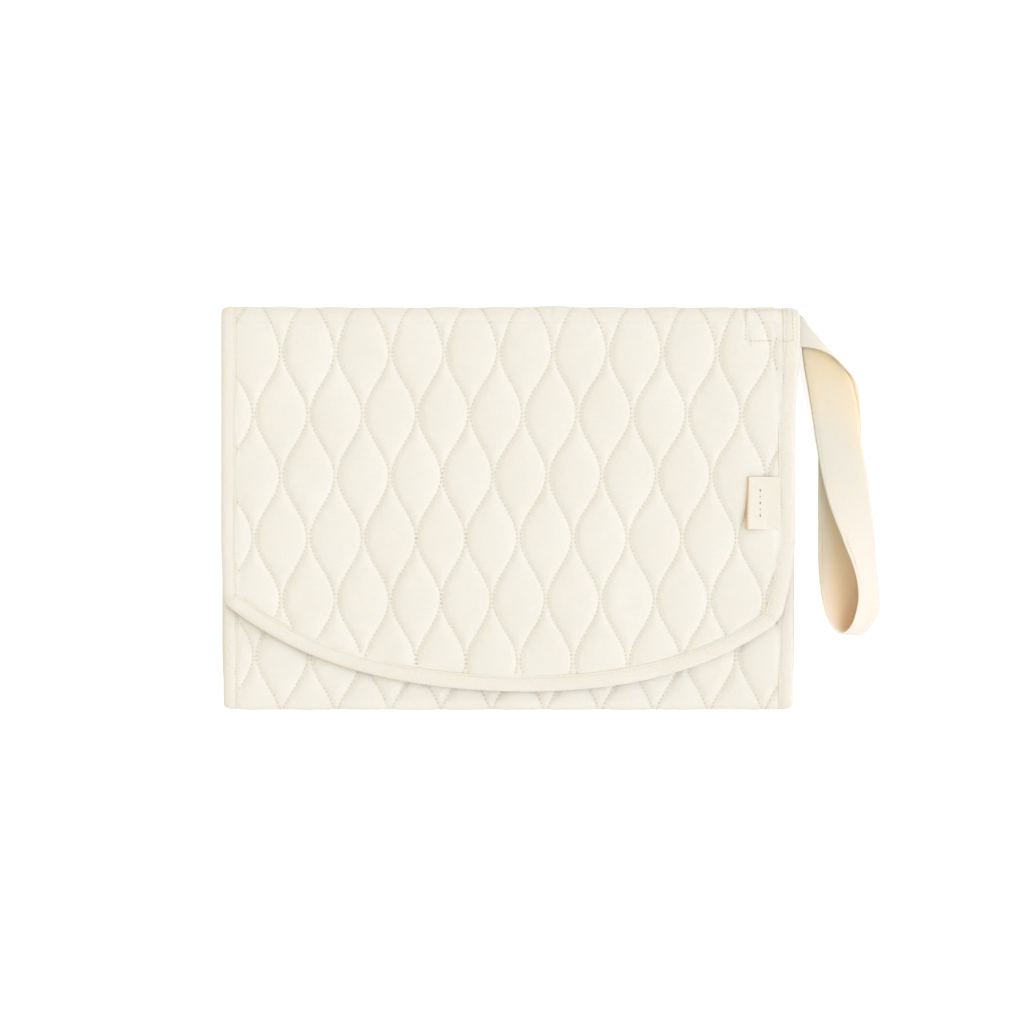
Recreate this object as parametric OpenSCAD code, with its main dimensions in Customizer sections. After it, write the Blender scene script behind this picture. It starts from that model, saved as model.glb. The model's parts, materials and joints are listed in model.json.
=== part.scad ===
// Travel changing pad: a padded, quilted mat with a bound edge, folded in three like a letter.
// The curved flap closes over the front panel with hook-and-loop tape, and a wrist strap is
// sewn into the flap's top right corner.
// Frame, in millimetres: the origin is the centre of the back panel's underside, +X points to
// the strap's side, +Y to the top fold and +Z up.

/* [Folded pad] */
// Width of the folded pad, from side to side
pad_w = 340; // [300:5:380]
// Height of the folded pad, from bottom fold to top fold
pad_h = 240; // [236:2:260]
// Thickness of one padded panel
panel_t = 6; // [5:0.5:7]
// Gap that lies between two folded panels
panel_gap = 0.3; // [0.2:0.1:1]

/* [Layers] */
// Thickness of the outer cotton, of the lining and of the binding cloth
cloth_t = 0.9; // [0.5:0.1:1.2]
// Thickness of the waterproof membrane
membrane_t = 0.4; // [0.2:0.1:0.6]
// Width of the binding on each face of the pad
binding_w = 9; // [7:0.5:12]

/* [Front panel] */
// How much narrower the front panel lies than the back panel
front_narrower = 2; // [0:1:6]
// Height of the front panel, from the bottom fold's axis to its bound edge
front_h = 106; // [90:2:110]

/* [Flap] */
// How far the flap's left side draws in at its corner
left_pull = 1.4; // [1:0.2:10]
// How far the flap's right side draws in at its corner
right_pull = 9; // [1:0.2:10]
// Height of the flap's left corner above the pad's centre
left_corner_y = -56; // [-70:1:-40]
// Height of the flap's right corner above the pad's centre
right_corner_y = -66.5; // [-70:1:-40]
// How far the curved edge reaches below the line between its corners
flap_depth = 47; // [30:1:50]

/* [Closure] */
// Length of the hook tape and of the loop tape
tape_l = 100; // [60:5:140]
// Width of both tapes
tape_w = 20; // [10:1:25]
// Thickness of each tape
tape_t = 0.8; // [0.6:0.1:1]
// Height of the tapes' middle above the pad's centre
tape_y = -82; // [-88:1:-70]

/* [Wrist strap] */
// Thickness of one ply of the strap
strap_t = 1.4; // [1:0.1:1.6]
// How far the strap's sewn end reaches in from the pad's side
strap_sewn_l = 31.4; // [25:0.2:40]
// Height of the sewn end's lower edge below the pad's top
strap_sewn_drop = 26; // [20:1:30]

/* [Label] */
// Width that shows of the folded label
label_w = 18; // [12:1:24]
// Height of the label
label_h = 31; // [20:1:40]
// Height of the label's middle above the pad's centre
label_y = 3.2; // [-10:0.2:20]

/* [Hidden] */
$fn = 72;

// Heights of the three folded panels' undersides
back_z = 0;
front_z = back_z + panel_t + panel_gap;
flap_z = front_z + panel_t + 2 * tape_t + panel_gap;

// Each fold turns about the centre of its own half ring
bottom_axis_z = (front_z + panel_t) / 2;
bottom_axis_y = -pad_h / 2 + bottom_axis_z;
top_axis_z = (flap_z + panel_t) / 2;
top_axis_y = pad_h / 2 - top_axis_z;

back_half = pad_w / 2;
front_half = back_half - front_narrower / 2;
front_edge_y = bottom_axis_y + front_h;

// Flap: where its sides begin to draw in, how square its curved end is, and how finely its
// edges are drawn. Mitre run is the share of an edge that each millimetre of inset takes off.
pull_start_y = -10;
curve_square = 0.35;
curve_steps = 48;
side_steps = 24;
mitre_run = 0.004;

// Strap: its corner of the pad, and how finely its route is drawn
strap_corner = [back_half, pad_h / 2];
strap_start_x = back_half + 1.2;
ply_gap = 0.1;
ring_steps = 3;
thread_w = 0.6;
thread_h = 0.4;
seam_gap = 0.3;

// Route of the loop, from the fold at its root down the front leg, round the end and back up
// the rear leg. Each row holds its left edge and its right edge, from the pad's top right
// corner.
strap_route = [
    [[4.3, -33, 7.2], [27.5, -34, 7.2]],
    [[7.6, -48, 6.8], [33.3, -45, 6.8]],
    [[10.2, -67, 6.4], [36.5, -63, 6.4]],
    [[12.5, -83, 6], [38.8, -79, 5.6]],
    [[16.3, -103, 6.4], [42.3, -100, 4.6]],
    [[21, -121, 10.5], [45, -118, 3.2]],
    [[28, -139, 16], [47.3, -136, 2.4]],
    [[34, -155, 19], [48.6, -153, 1.8]],
    [[36.2, -169, 19.6], [49.2, -168, 1.4]],
    [[35.4, -178.5, 19.6], [48.8, -179, 1.2]],
    [[32.5, -187, 19.4], [44, -188.5, 1.2]],
    [[27.5, -192, 19], [37.5, -193, 1.2]],
    [[21.5, -190, 17.5], [31.5, -191, 1.2]],
    [[17.5, -182, 14], [28.5, -182, 1.2]],
    [[15.3, -171, 9], [31, -169, 1.2]],
    [[14.2, -156, 4.5], [35.5, -153, 1.2]],
    [[14, -139, 2], [39, -136, 1.2]],
    [[14, -115, 1.2], [40, -112, 1.2]],
    [[13.6, -90, 1.2], [39.4, -87, 1.2]],
    [[12, -67, 1.6], [38, -63, 1.6]],
    [[8.8, -48, 2.8], [35.2, -45, 2.8]],
    [[5, -33, 4.3], [29.5, -34, 4.3]]
];

// ---- Outlines: closed rings of points, drawn in from the pad's edge by an inset ----

function unit(v) = v / norm(v);
function lerp(a, b, t) = a + (b - a) * t;
function reversed(list) = [for (i = [len(list) - 1:-1:0]) list[i]];

function back_outline(inset) = [
    [-back_half + inset, bottom_axis_y], [back_half - inset, bottom_axis_y],
    [back_half - inset, top_axis_y], [-back_half + inset, top_axis_y]
];

function front_outline(inset) = [
    [-front_half + inset, bottom_axis_y], [front_half - inset, bottom_axis_y],
    [front_half - inset, front_edge_y - inset], [-front_half + inset, front_edge_y - inset]
];

// The flap's sides, for v from 0 at the top fold to 1 at the corner. Side is -1 for the left.
function pull(side) = side < 0 ? left_pull : right_pull;
function corner_y(side) = side < 0 ? left_corner_y : right_corner_y;
function flap_side(side, v) =
    let (y = lerp(top_axis_y, corner_y(side), v),
         drawn = max(0, (pull_start_y - y) / (pull_start_y - corner_y(side))))
    [side * (back_half - pull(side) * drawn * drawn), y];

// The flap's curved edge, for u from -1 at the left corner to 1 at the right one
function flap_end(u) =
    lerp(flap_side(-1, 1), flap_side(1, 1), (1 + u) / 2)
    - [0, flap_depth * (1 - (1 - curve_square) * u * u - curve_square * pow(u, 4))];

// Directions into the flap, square to its edges
function side_normal(side, v) =
    let (down = unit(flap_side(side, v + 0.001) - flap_side(side, v - 0.001)))
    -side * [-down[1], down[0]];
function end_normal(u) =
    let (along = unit(flap_end(u + 0.001) - flap_end(u - 0.001))) [-along[1], along[0]];

// The same edges moved in by an inset, which stop short of where they meet
function side_points(side, inset) =
    [for (i = [0:side_steps]) let (v = (1 - mitre_run * inset) * i / side_steps)
        flap_side(side, v) + inset * side_normal(side, v)];
function end_points(inset) =
    [for (i = [0:curve_steps]) let (u = (1 - mitre_run * inset) * (2 * i / curve_steps - 1))
        flap_end(u) + inset * end_normal(u)];

// Where a side and the curved edge meet once both are moved in
function mitre(side, inset) =
    let (n1 = side_normal(side, 1), n2 = end_normal(side))
    flap_side(side, 1) + inset * (n1 + n2) / (1 + n1 * n2);

function flap_outline(inset) = concat(
    side_points(-1, inset), [mitre(-1, inset)],
    end_points(inset), [mitre(1, inset)],
    reversed(side_points(1, inset))
);

// Strip of binding along one straight side
function side_strip(half, y0, y1, side) = [
    [side * half, y0], [side * half, y1],
    [side * (half - binding_w), y1], [side * (half - binding_w), y0]
];

// ---- Shapes shared by the panels ----

module slab(outline, z, t) {
    translate([0, 0, z]) linear_extrude(height = t) polygon(outline);
}

// One layer of a panel: depth is measured from the lining's face
module layer(outline, panel_z, outer_up, depth, t) {
    slab(outline, outer_up ? panel_z + depth : panel_z + panel_t - depth - t, t);
}

module lining_layer(outline, panel_z, outer_up) {
    layer(outline, panel_z, outer_up, 0, cloth_t);
}

module membrane_layer(outline, panel_z, outer_up) {
    layer(outline, panel_z, outer_up, cloth_t, membrane_t);
}

module wadding_layer(outline, panel_z, outer_up) {
    layer(outline, panel_z, outer_up, cloth_t + membrane_t, panel_t - 2 * cloth_t - membrane_t);
}

module quilt_layer(outline, panel_z, outer_up) {
    layer(outline, panel_z, outer_up, panel_t - cloth_t, cloth_t);
}

// Binding folded over a panel's edge: the core of the panel goes into its channel
module bound_edge(strip, core, panel_z) {
    difference() {
        slab(strip, panel_z, panel_t);
        slab(core, panel_z + cloth_t, panel_t - 2 * cloth_t);
    }
}

// Half ring of cloth round a fold, from x0 to x1. Side is 1 for the top fold and -1 for the
// bottom fold. The seam gap keeps it clear of the panel that folds over.
module half_ring(axis_y, axis_z, side, r_in, r_out, x0, x1) {
    translate([x0, axis_y, axis_z]) rotate([90, 0, 90]) linear_extrude(height = x1 - x0)
        difference() {
            circle(r_out);
            circle(r_in);
            behind(side, -2 * r_out, 0, -2 * r_out, 2 * r_out);
            behind(side, -2 * r_out, seam_gap, 0, 2 * r_out);
        }
}

// Rectangle from u0 to u1 along the fold's outward side and v0 to v1 upward
module behind(side, u0, u1, v0, v1) {
    translate([side > 0 ? u0 : -u1, v0]) square([u1 - u0, v1 - v0]);
}

module top_ring(depth, t, x0, x1) {
    inner = top_axis_z - panel_t;
    half_ring(top_axis_y, top_axis_z, 1, inner + depth, inner + depth + t, x0, x1);
}

module bottom_ring(depth, t, x0, x1) {
    inner = bottom_axis_z - panel_t;
    half_ring(bottom_axis_y, bottom_axis_z, -1, inner + depth, inner + depth + t, x0, x1);
}

// ---- Back panel: the outer quilt faces down and the lining faces up ----

module back_outer_quilt() {
    color("antiquewhite") quilt_layer(back_outline(binding_w), back_z, false);
}

module back_wadding() {
    color("white") wadding_layer(back_outline(cloth_t), back_z, false);
}

module back_membrane() {
    color("lightsteelblue") membrane_layer(back_outline(cloth_t), back_z, false);
}

module back_lining() {
    color("ivory") lining_layer(back_outline(binding_w), back_z, false);
}

module back_binding(side) {
    color("bisque")
        bound_edge(side_strip(back_half, bottom_axis_y, top_axis_y, side),
                   back_outline(cloth_t), back_z);
}

module back_binding_left() {
    back_binding(-1);
}

module back_binding_right() {
    back_binding(1);
}

// ---- Bottom fold, which turns the mat up into the front panel ----

bottom_quilt_half = front_half - binding_w;

module bottom_fold_outer_quilt() {
    color("antiquewhite")
        bottom_ring(panel_t - cloth_t, cloth_t, -bottom_quilt_half, bottom_quilt_half);
}

module bottom_fold_wadding() {
    color("white")
        bottom_ring(cloth_t + membrane_t, panel_t - 2 * cloth_t - membrane_t,
                    -bottom_quilt_half, bottom_quilt_half);
}

module bottom_fold_membrane() {
    color("lightsteelblue")
        bottom_ring(cloth_t, membrane_t, -bottom_quilt_half, bottom_quilt_half);
}

module bottom_fold_lining() {
    color("ivory") bottom_ring(0, cloth_t, -bottom_quilt_half, bottom_quilt_half);
}

module bottom_fold_bindings() {
    color("bisque") {
        bottom_ring(0, panel_t, -front_half, -bottom_quilt_half);
        bottom_ring(0, panel_t, bottom_quilt_half, front_half);
    }
}

// ---- Front panel: the lining faces down and the outer quilt faces up ----

module front_outer_quilt() {
    color("antiquewhite") quilt_layer(front_outline(binding_w), front_z, true);
}

module front_wadding() {
    color("white") wadding_layer(front_outline(cloth_t), front_z, true);
}

module front_membrane() {
    color("lightsteelblue") membrane_layer(front_outline(cloth_t), front_z, true);
}

module front_lining() {
    color("ivory") lining_layer(front_outline(binding_w), front_z, true);
}

// Side binding, cut at 45 degrees where it meets the binding of the top edge
module front_binding(side) {
    strip = [
        [side * front_half, bottom_axis_y], [side * front_half, front_edge_y],
        [side * (front_half - binding_w), front_edge_y - binding_w],
        [side * (front_half - binding_w), bottom_axis_y]
    ];
    color("bisque") bound_edge(strip, front_outline(cloth_t), front_z);
}

module front_binding_left() {
    front_binding(-1);
}

module front_binding_right() {
    front_binding(1);
}

module front_binding_top() {
    strip = [
        [-front_half, front_edge_y], [front_half, front_edge_y],
        [front_half - binding_w, front_edge_y - binding_w],
        [-front_half + binding_w, front_edge_y - binding_w]
    ];
    color("bisque") bound_edge(strip, front_outline(cloth_t), front_z);
}

module tape(z) {
    translate([-tape_l / 2, tape_y - tape_w / 2, z]) cube([tape_l, tape_w, tape_t]);
}

module loop_tape() {
    color("linen") tape(front_z + panel_t);
}

// ---- Top fold, which turns the mat over into the flap ----

top_quilt_half = back_half - binding_w;

module top_fold_outer_quilt() {
    color("antiquewhite")
        top_ring(panel_t - cloth_t, cloth_t, -top_quilt_half, top_quilt_half);
}

module top_fold_wadding() {
    color("white")
        top_ring(cloth_t + membrane_t, panel_t - 2 * cloth_t - membrane_t,
                 -top_quilt_half, top_quilt_half);
}

module top_fold_membrane() {
    color("lightsteelblue") top_ring(cloth_t, membrane_t, -top_quilt_half, top_quilt_half);
}

module top_fold_lining() {
    color("ivory") top_ring(0, cloth_t, -top_quilt_half, top_quilt_half);
}

module top_fold_bindings() {
    color("bisque") {
        top_ring(0, panel_t, -back_half, -top_quilt_half);
        top_ring(0, panel_t, top_quilt_half, back_half);
    }
}

// ---- Flap: the lining faces down and the outer quilt faces up ----

module flap_outer_quilt() {
    color("antiquewhite") quilt_layer(flap_outline(binding_w), flap_z, true);
}

module flap_wadding() {
    color("white") wadding_layer(flap_outline(cloth_t), flap_z, true);
}

module flap_membrane() {
    color("lightsteelblue") membrane_layer(flap_outline(cloth_t), flap_z, true);
}

module flap_lining() {
    color("ivory") lining_layer(flap_outline(binding_w), flap_z, true);
}

module flap_binding(side) {
    strip = concat(
        side_points(side, 0), [mitre(side, binding_w)], reversed(side_points(side, binding_w))
    );
    color("bisque") bound_edge(strip, flap_outline(cloth_t), flap_z);
}

module flap_binding_left() {
    flap_binding(-1);
}

module flap_binding_right() {
    flap_binding(1);
}

module flap_binding_curve() {
    strip = concat(
        end_points(0), [mitre(1, binding_w)], reversed(end_points(binding_w)),
        [mitre(-1, binding_w)]
    );
    color("bisque") bound_edge(strip, flap_outline(cloth_t), flap_z);
}

module hook_tape() {
    color("linen") tape(flap_z - tape_t);
}

// ---- Wrist strap ----

// The strap's two ends, one on the other, sewn under the flap's lining. Past the panel's end
// they curl round inside the top fold.
module strap_sewn_end() {
    color("wheat")
        for (ply = [0, 1]) {
            top = flap_z - ply_gap - ply * (strap_t + ply_gap);
            r_out = top - top_axis_z;
            x0 = back_half - strap_sewn_l;
            translate([x0, pad_h / 2 - strap_sewn_drop, top - strap_t])
                cube([strap_start_x - x0, top_axis_y - pad_h / 2 + strap_sewn_drop, strap_t]);
            translate([x0, top_axis_y, top_axis_z]) rotate([90, 0, 90])
                linear_extrude(height = strap_start_x - x0)
                    difference() {
                        circle(r_out);
                        circle(r_out - strap_t);
                        behind(1, -2 * r_out, 0, -2 * r_out, 2 * r_out);
                    }
        }
}

// Box of stitches through the flap, round the sewn end
module strap_box_stitching() {
    x0 = back_half - strap_sewn_l + 1.5;
    x1 = back_half - 1.5;
    y0 = pad_h / 2 - strap_sewn_drop + 5;
    y1 = top_axis_y - 0.5;
    color("oldlace")
        translate([0, 0, flap_z + panel_t])
            difference() {
                translate([x0, y0, 0]) cube([x1 - x0, y1 - y0, thread_h]);
                translate([x0 + thread_w, y0 + thread_w, -1])
                    cube([x1 - x0 - 2 * thread_w, y1 - y0 - 2 * thread_w, thread_h + 2]);
            }
}

// Diagonal fold that turns the strap from across the pad to down its side: both plies come
// out on top, go round the crease and leave below
module strap_root_fold() {
    top = flap_z - ply_gap;
    plies = 2 * strap_t + ply_gap;
    leg_z = strap_route[len(strap_route) - 1][0][2] - strap_t / 2;
    leg_top = strap_route[0][0][2] + strap_t / 2;
    crease = [[1.2, -4.5], [27.2, -32]];
    across = [plies, 0];
    color("wheat") translate([strap_corner[0], strap_corner[1], 0]) {
        slab([crease[0], [1.2, -strap_sewn_drop], [16, -strap_sewn_drop], crease[1]],
             top - plies, plies);
        slab([crease[0], [2.6, -strap_sewn_drop], [4.2, -32.6], [27.4, -32.8], crease[1]],
             leg_z, leg_top - leg_z);
        slab([crease[0], crease[0] + [0, -1.5 * plies], crease[1] - across, crease[1]],
             leg_z, top - leg_z);
    }
}

// Smooth curve through the route's rows
function spline(a, b, c, d, t) =
    0.5 * (2 * b + (c - a) * t + (2 * a - 5 * b + 4 * c - d) * t * t
           + (3 * b - a - 3 * c + d) * t * t * t);
function route_row(i) = strap_route[min(max(i, 0), len(strap_route) - 1)];
function route_at(i, t) = [for (e = [0, 1])
    spline(route_row(i - 1)[e], route_row(i)[e], route_row(i + 1)[e], route_row(i + 2)[e], t)];
function route_rows() = concat(
    [for (i = [0:len(strap_route) - 2], k = [0:ring_steps - 1]) route_at(i, k / ring_steps)],
    [route_row(len(strap_route) - 1)]
);

module wrist_strap() {
    rows = route_rows();
    last = len(rows) - 1;
    mids = [for (r = rows) (r[0] + r[1]) / 2];
    points = [for (i = [0:last])
        let (along = unit(mids[min(i + 1, last)] - mids[max(i - 1, 0)]),
             up = unit(cross(along, rows[i][0] - rows[i][1])) * strap_t / 2)
        for (p = [rows[i][0] + up, rows[i][1] + up, rows[i][1] - up, rows[i][0] - up]) p];
    sides = [for (i = [0:last - 1], k = [0:3])
        let (a = 4 * i + k, b = 4 * i + (k + 1) % 4)
        for (f = [[a, a + 4, b], [b, a + 4, b + 4]]) f];
    ends = [[0, 1, 2], [0, 2, 3], [for (k = [3, 2, 1]) 4 * last + k],
            [for (k = [3, 1, 0]) 4 * last + k]];
    color("wheat") translate([strap_corner[0], strap_corner[1], 0])
        polyhedron(points = points, faces = concat(sides, ends), convexity = 8);
}

// ---- Label: one ribbon folded in two, sewn under the flap's right binding ----

module woven_label() {
    ply_t = 0.5;
    loop_t = 1.4;
    x1 = back_half - binding_w - 0.5;
    translate([x1 - label_w, label_y - label_h / 2, flap_z + panel_t])
        color("floralwhite")
            difference() {
                cube([label_w, label_h, loop_t]);
                translate([ply_t, -1, ply_t])
                    cube([label_w, label_h + 2, loop_t - 2 * ply_t]);
            }
}

back_outer_quilt();
back_wadding();
back_membrane();
back_lining();
back_binding_left();
back_binding_right();
bottom_fold_outer_quilt();
bottom_fold_wadding();
bottom_fold_membrane();
bottom_fold_lining();
bottom_fold_bindings();
front_outer_quilt();
front_wadding();
front_membrane();
front_lining();
front_binding_left();
front_binding_right();
front_binding_top();
loop_tape();
top_fold_outer_quilt();
top_fold_wadding();
top_fold_membrane();
top_fold_lining();
top_fold_bindings();
flap_outer_quilt();
flap_wadding();
flap_membrane();
flap_lining();
flap_binding_left();
flap_binding_right();
flap_binding_curve();
hook_tape();
strap_sewn_end();
strap_box_stitching();
strap_root_fold();
wrist_strap();
woven_label();
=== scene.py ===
"""Looks of the folded changing pad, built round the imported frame. Everything is in metres."""

import json
import math

import bpy
import numpy as np
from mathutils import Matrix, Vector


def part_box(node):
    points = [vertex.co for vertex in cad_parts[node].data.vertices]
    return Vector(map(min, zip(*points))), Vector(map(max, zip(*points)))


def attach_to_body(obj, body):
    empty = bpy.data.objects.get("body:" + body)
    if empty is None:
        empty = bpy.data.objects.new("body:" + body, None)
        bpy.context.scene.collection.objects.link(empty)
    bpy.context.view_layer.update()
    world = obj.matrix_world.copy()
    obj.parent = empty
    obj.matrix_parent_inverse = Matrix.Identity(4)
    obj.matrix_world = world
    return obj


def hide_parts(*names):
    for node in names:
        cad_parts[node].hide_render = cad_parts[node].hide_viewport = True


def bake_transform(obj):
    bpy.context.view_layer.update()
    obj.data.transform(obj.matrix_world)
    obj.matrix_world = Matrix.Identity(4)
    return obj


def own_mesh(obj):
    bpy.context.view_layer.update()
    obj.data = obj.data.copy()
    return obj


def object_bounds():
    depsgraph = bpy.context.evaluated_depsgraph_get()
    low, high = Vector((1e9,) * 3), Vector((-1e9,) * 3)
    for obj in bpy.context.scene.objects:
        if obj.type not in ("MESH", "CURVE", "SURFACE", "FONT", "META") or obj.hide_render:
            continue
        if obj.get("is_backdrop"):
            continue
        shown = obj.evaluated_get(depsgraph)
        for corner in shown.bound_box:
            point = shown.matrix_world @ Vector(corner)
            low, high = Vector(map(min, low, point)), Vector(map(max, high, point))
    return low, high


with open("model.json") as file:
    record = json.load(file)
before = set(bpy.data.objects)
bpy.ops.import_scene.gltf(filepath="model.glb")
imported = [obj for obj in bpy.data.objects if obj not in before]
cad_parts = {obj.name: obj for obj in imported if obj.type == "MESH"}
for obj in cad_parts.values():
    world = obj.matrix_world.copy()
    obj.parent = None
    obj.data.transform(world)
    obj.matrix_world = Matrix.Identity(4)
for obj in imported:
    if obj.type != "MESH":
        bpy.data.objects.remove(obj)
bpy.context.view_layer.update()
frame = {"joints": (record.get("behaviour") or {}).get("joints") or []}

MM = 0.001

# ------ sizes taken from the frame

HINGES = {j["name"]: j["pos_m"] for j in frame["joints"]}
_, TOP_Y, TOP_Z = HINGES["flap_open"]
_, BOT_Y, BOT_Z = HINGES["front_unfold"]
low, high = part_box("back_binding_left")
HALF = -low.x
BACK_THICK = high.z
BIND_W = high.x + HALF
FRONT_HALF = -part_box("front_binding_left")[0].x
FRONT_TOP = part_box("front_outer_quilt")[1].z
FRONT_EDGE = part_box("front_binding_top")[1].y
low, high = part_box("flap_outer_quilt")
FLAP_TOP = high.z
CLOTH_T = FLAP_TOP - low.z
BOX_LOW, BOX_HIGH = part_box("strap_box_stitching")
R_TOP = FLAP_TOP - TOP_Z
R_BOT = FRONT_TOP - BOT_Z

# The mat is one strip. S runs along its outer face, from the flap over the top fold, along
# the back, round the bottom fold and up the front.
S_TOP = TOP_Y
S_BACK = S_TOP + math.pi * R_TOP
S_BOTTOM = S_BACK + TOP_Y - BOT_Y
S_FRONT = S_BOTTOM + math.pi * R_BOT
S_END = S_FRONT + FRONT_EDGE - BOT_Y

# The flap's outline, by the same rules as the frame's
CORNER_X = {-1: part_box("flap_binding_curve")[0].x, 1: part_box("flap_binding_curve")[1].x}
CORNER_Y = {-1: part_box("flap_binding_left")[0].y, 1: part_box("flap_binding_right")[0].y}
PULL_START = -10 * MM
FLAP_DEPTH = 47 * MM
CURVE_SQUARE = 0.35

# Quilting: wavy lines of stitches that meet and part
LINE_GAP = 16.15 * MM
LINE_SWING = 7.1 * MM
LINE_WAVE = 73.2 * MM
LINE_START = 3.1 * MM
NECK_Y = 92.5 * MM
PILLOW_H = 2.4 * MM
STITCH_PITCH = 2.6 * MM


# ------ small numeric helpers

def smooth(t):
    t = np.clip(t, 0, 1)
    return t * t * (3 - 2 * t)


def bell(t):
    return np.exp(-(t**2))


def unit(v):
    return np.asarray(v) / np.linalg.norm(v, axis=-1, keepdims=True)


def path_length(points):
    return np.concatenate([[0], np.cumsum(np.linalg.norm(np.diff(points, axis=0), axis=1))])


def end_dip(u):
    """How far the flap's curved end hangs below its corners, from side to side."""
    return FLAP_DEPTH * (1 - (1 - CURVE_SQUARE) * u**2 - CURVE_SQUARE * u**4)


def ripple(scale, count=9, seed=1):
    """A soft random field over the plane, near -1 to 1, with features about scale across."""
    rng = np.random.default_rng(seed)
    turn = rng.uniform(0, 2 * math.pi, count)
    size = 2 * math.pi / (scale * rng.uniform(1.2, 2.8, count))
    shift = rng.uniform(0, 2 * math.pi, count)

    def field(x, y):
        total = 0
        for a, k, p in zip(turn, size, shift):
            total = total + np.sin(k * (x * math.cos(a) + y * math.sin(a)) + p)
        return total / math.sqrt(count)

    return field


SOFT = ripple(30 * MM, seed=3)
FINE = ripple(6 * MM, seed=5)
PUCKER = ripple(3.2 * MM, seed=8)
BROAD = ripple(90 * MM, seed=11)


def sag(x, s):
    """How far the flap settles: into the hollow behind the front panel, and at its edge."""
    hollow = bell((s - 48 * MM) / (34 * MM))
    wave = 0.5 + 0.5 * BROAD(x, s)
    fade = smooth((S_TOP - s) / (30 * MM))
    inner = fade * (0.7 * hollow + 0.35 * wave)
    u = np.clip(x / HALF, -1, 1)
    end = (CORNER_Y[-1] + CORNER_Y[1]) / 2 + (CORNER_Y[1] - CORNER_Y[-1]) / 2 * u
    edge = bell(np.maximum(s - (end - end_dip(u)), 0) / (9 * MM))
    sides = smooth((np.abs(x) - 60 * MM) / (15 * MM)) * smooth((-15 * MM - s) / (30 * MM))
    rest = np.where(s < 0, 1 - smooth(-s / (30 * MM)), 1)
    return (rest * inner + 1.25 * np.maximum(edge, sides)) * MM


# Heights between which the bottom fold's cloth passes from the back to the front
FRONT_LOW, FRONT_HIGH = 5.2 * MM, 6.85 * MM


def place(x, s, drop):
    """The point at x across and s along the mat, drop below its outer face."""
    x, s, drop = np.broadcast_arrays(*(np.asarray(a, float) for a in (x, s, drop)))
    uneven = 0.8 * bell((x + HALF) / (26 * MM)) + 0.7 * bell((x - 25 * MM) / (18 * MM)) - 0.3
    a, b = (s - S_TOP) / R_TOP, (s - S_BOTTOM) / R_BOT
    y, z = s, FLAP_TOP - drop - sag(x, s)
    for start, y_past, z_past in (
            (S_TOP, TOP_Y + (R_TOP - drop + uneven * MM) * np.sin(a),
             TOP_Z + (R_TOP - drop) * np.cos(a)),
            (S_BACK, TOP_Y - (s - S_BACK), drop),
            (S_BOTTOM, BOT_Y - (R_BOT - drop) * np.sin(b), BOT_Z - (R_BOT - drop) * np.cos(b)),
            (S_FRONT, BOT_Y + (s - S_FRONT),
             np.maximum(FRONT_TOP - drop, FRONT_HIGH + 0.02 * MM))):
        y, z = np.where(s > start, y_past, y), np.where(s > start, z_past, z)
    return np.stack([x, y, z], -1)


# ------ the flap's outline

def flap_side(side, v):
    v = np.asarray(v, float)
    y = TOP_Y + (CORNER_Y[side] - TOP_Y) * v
    drawn = np.maximum(0, (PULL_START - y) / (PULL_START - CORNER_Y[side]))
    draw_in = HALF - side * CORNER_X[side]
    return np.stack([side * (HALF - draw_in * drawn**2), y], -1)


def flap_end(u):
    u = np.asarray(u, float)
    left, right = flap_side(-1, 1), flap_side(1, 1)
    along = (1 + u[..., None]) / 2
    return left + (right - left) * along - np.stack([0 * u, end_dip(u)], -1)


def normals(curve, t, turn):
    step = 0.001
    d = unit(curve(t + step) - curve(t - step))
    return turn * np.stack([-d[..., 1], d[..., 0]], -1)


def side_normal(side, v):
    return normals(lambda t: flap_side(side, t), np.asarray(v, float), -side)


def end_normal(u):
    return normals(flap_end, np.asarray(u, float), 1)


def mitre(side, side_share=1.0, end_share=1.0):
    """The corner's point, and the way it moves for each metre of inset."""
    n1, n2 = side_normal(side, 1.0), end_normal(float(side))
    return flap_side(side, 1.0), np.linalg.solve(np.array([n1, n2]), [side_share, end_share])


# ------ quilting

# Places along the mat, and how many waves the quilting has gone through by each
S_TIP = (S_TOP + S_BACK) / 2
S_LOW = S_BOTTOM + 9.6 * MM
NECKS = ((-0.2, 0.1, S_TIP, S_LOW, 0.7),
         ((-0.2 - NECK_Y) / LINE_WAVE, (0.1 - NECK_Y) / LINE_WAVE, 0.362, 4.0,
          4.0 + (0.7 - S_LOW) / LINE_WAVE))
DRIFT = 5 * MM


def line_x(j, s):
    """Where a quilting line is across the mat. The lines wander a little to the left."""
    turns = np.interp(s, *NECKS)
    swing = np.where(np.asarray(j) % 2 == 0, -1.0, 1.0) * LINE_SWING
    base = LINE_START + j * LINE_GAP
    wander = smooth((base + 75 * MM) / (75 * MM))
    wander = wander * np.interp(s, (-0.005, 0.105, S_BOTTOM - 0.09, S_BOTTOM), (1, 0, 0, 1))
    return base + swing * np.cos(2 * math.pi * turns) - DRIFT * wander


# Further than any quilting line is
FAR = 1000.0


def lines_near(x, s):
    """Where the quilting lines on either side of a place are across the mat."""
    first = np.floor((x - LINE_START) / LINE_GAP)
    return np.stack([line_x(first + k, s) for k in (-1, 0, 1, 2, 3)])


def line_slope(j, s):
    step = 0.2 * MM
    return (line_x(j, s + step) - line_x(j, s - step)) / (2 * step)


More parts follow.
